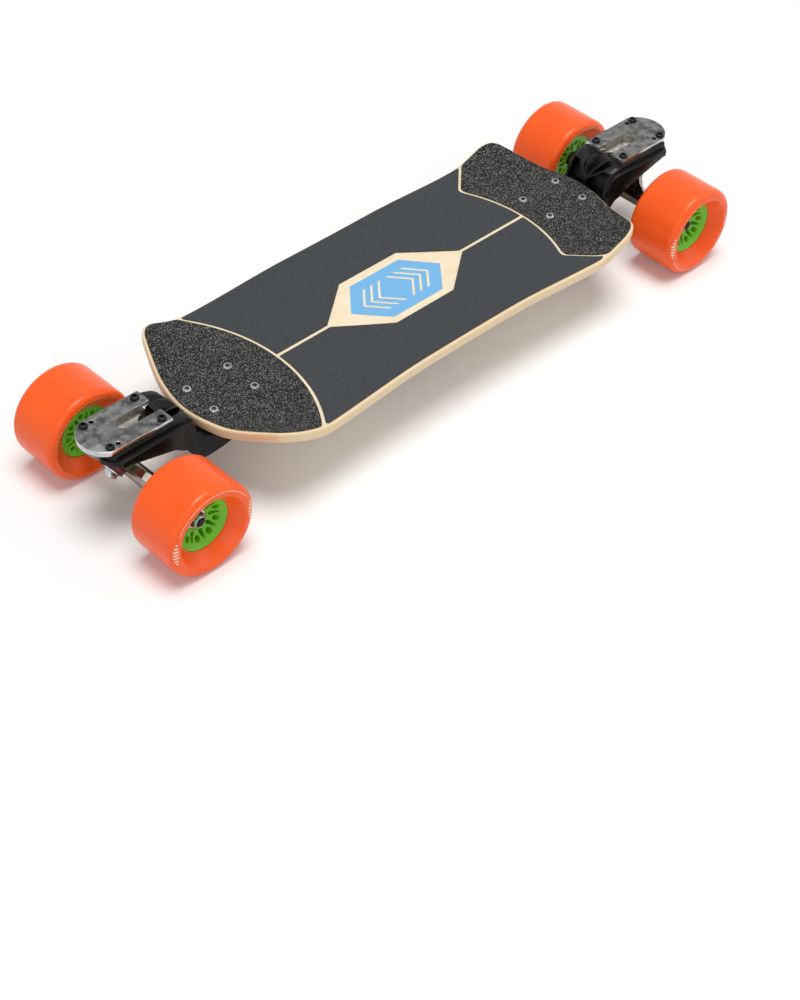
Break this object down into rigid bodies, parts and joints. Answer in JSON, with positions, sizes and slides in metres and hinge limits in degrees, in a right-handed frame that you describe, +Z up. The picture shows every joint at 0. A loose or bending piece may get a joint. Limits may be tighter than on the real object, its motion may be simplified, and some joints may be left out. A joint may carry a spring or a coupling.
{
  "type": "longboard",
  "caption": "Cruising longboard: curved ply deck with grip sheets, moulded brackets that raise the trucks beyond its ends, sprung steering hangers and large soft wheels.",
  "frame": {"origin": "On the ground under the middle of the board, which stands on its four wheels.", "axes": "+Z up, +X along the board towards the end called front, +Y to the left."},
  "size_m": [0.841, 0.2496, 0.1189],
  "materials": {
    "maple": "pale maple veneer, satin lacquer",
    "coarse_grip": "coarse black abrasive grain with bright sparkles",
    "fine_grip": "fine dark slate abrasive grain",
    "nylon": "black glass-filled nylon, satin",
    "aluminium": "brushed casting with polished rims",
    "casting": "bronze-grey coated casting",
    "steel": "zinc-plated steel",
    "black_steel": "black oxide steel",
    "bushing": "dark red cast urethane",
    "cup": "black urethane",
    "tyre": "orange cast urethane, satin tread and glossy lips",
    "core": "bright green moulded nylon"
  },
  "bodies": {
    "board": {"deck": "maple", "grip_front": "coarse_grip", "grip_rear": "coarse_grip", "grip_left": "fine_grip", "grip_right": "fine_grip", "deck_bolt_front_inner_left": "steel", "deck_bolt_front_inner_right": "steel", "deck_bolt_front_outer_left": "steel", "deck_bolt_front_outer_right": "steel", "deck_bolt_rear_inner_left": "steel", "deck_bolt_rear_inner_right": "steel", "deck_bolt_rear_outer_left": "steel", "deck_bolt_rear_outer_right": "steel", "bracket_front": "nylon", "bracket_rear": "nylon", "baseplate_front": "aluminium", "baseplate_rear": "aluminium", "truck_bolt_front_inner_left": "black_steel", "truck_bolt_front_inner_right": "black_steel", "truck_bolt_front_outer_left": "black_steel", "truck_bolt_front_outer_right": "black_steel", "truck_bolt_rear_inner_left": "black_steel", "truck_bolt_rear_inner_right": "black_steel", "truck_bolt_rear_outer_left": "black_steel", "truck_bolt_rear_outer_right": "black_steel", "kingpin_front": "steel", "kingpin_rear": "steel", "kingpin_nut_front": "steel", "kingpin_nut_rear": "steel", "bushing_boardside_front": "bushing", "bushing_boardside_rear": "bushing", "bushing_roadside_front": "bushing", "bushing_roadside_rear": "bushing", "pivot_cup_front": "cup", "pivot_cup_rear": "cup"},
    "front_steering": {"hanger_front": "casting", "axle_front": "steel", "axle_nut_front_left": "steel", "axle_nut_front_right": "steel"},
    "rear_steering": {"hanger_rear": "casting", "axle_rear": "steel", "axle_nut_rear_left": "steel", "axle_nut_rear_right": "steel"},
    "wheel_front_left": {"tyre_front_left": "tyre", "core_front_left": "core", "bearing_front_left_inner": "steel", "bearing_front_left_outer": "steel"},
    "wheel_front_right": {"tyre_front_right": "tyre", "core_front_right": "core", "bearing_front_right_inner": "steel", "bearing_front_right_outer": "steel"},
    "wheel_rear_left": {"tyre_rear_left": "tyre", "core_rear_left": "core", "bearing_rear_left_inner": "steel", "bearing_rear_left_outer": "steel"},
    "wheel_rear_right": {"tyre_rear_right": "tyre", "core_rear_right": "core", "bearing_rear_right_inner": "steel", "bearing_rear_right_outer": "steel"}
  },
  "joints": [
    {"name": "steer_front", "type": "hinge", "parent": "board", "child": "front_steering", "pos_m": [0.37435, 0, 0.07064], "axis": [0.6428, 0, 0.766], "range_deg": [-18, 18], "stiffness_Nm_per_rad": 45, "deforming": ["bushing_boardside_front", "bushing_roadside_front"]},
    {"name": "steer_rear", "type": "hinge", "parent": "board", "child": "rear_steering", "pos_m": [-0.37435, 0, 0.07064], "axis": [-0.6428, 0, 0.766], "range_deg": [-18, 18], "stiffness_Nm_per_rad": 45, "deforming": ["bushing_boardside_rear", "bushing_roadside_rear"]},
    {"name": "spin_front_left", "type": "hinge", "parent": "front_steering", "child": "wheel_front_left", "pos_m": [0.3633, 0.0923, 0.0525], "axis": [0, 1, 0], "continuous": true},
    {"name": "spin_front_right", "type": "hinge", "parent": "front_steering", "child": "wheel_front_right", "pos_m": [0.3633, -0.0923, 0.0525], "axis": [0, 1, 0], "continuous": true},
    {"name": "spin_rear_left", "type": "hinge", "parent": "rear_steering", "child": "wheel_rear_left", "pos_m": [-0.3633, 0.0923, 0.0525], "axis": [0, 1, 0], "continuous": true},
    {"name": "spin_rear_right", "type": "hinge", "parent": "rear_steering", "child": "wheel_rear_right", "pos_m": [-0.3633, -0.0923, 0.0525], "axis": [0, 1, 0], "continuous": true}
  ]
}
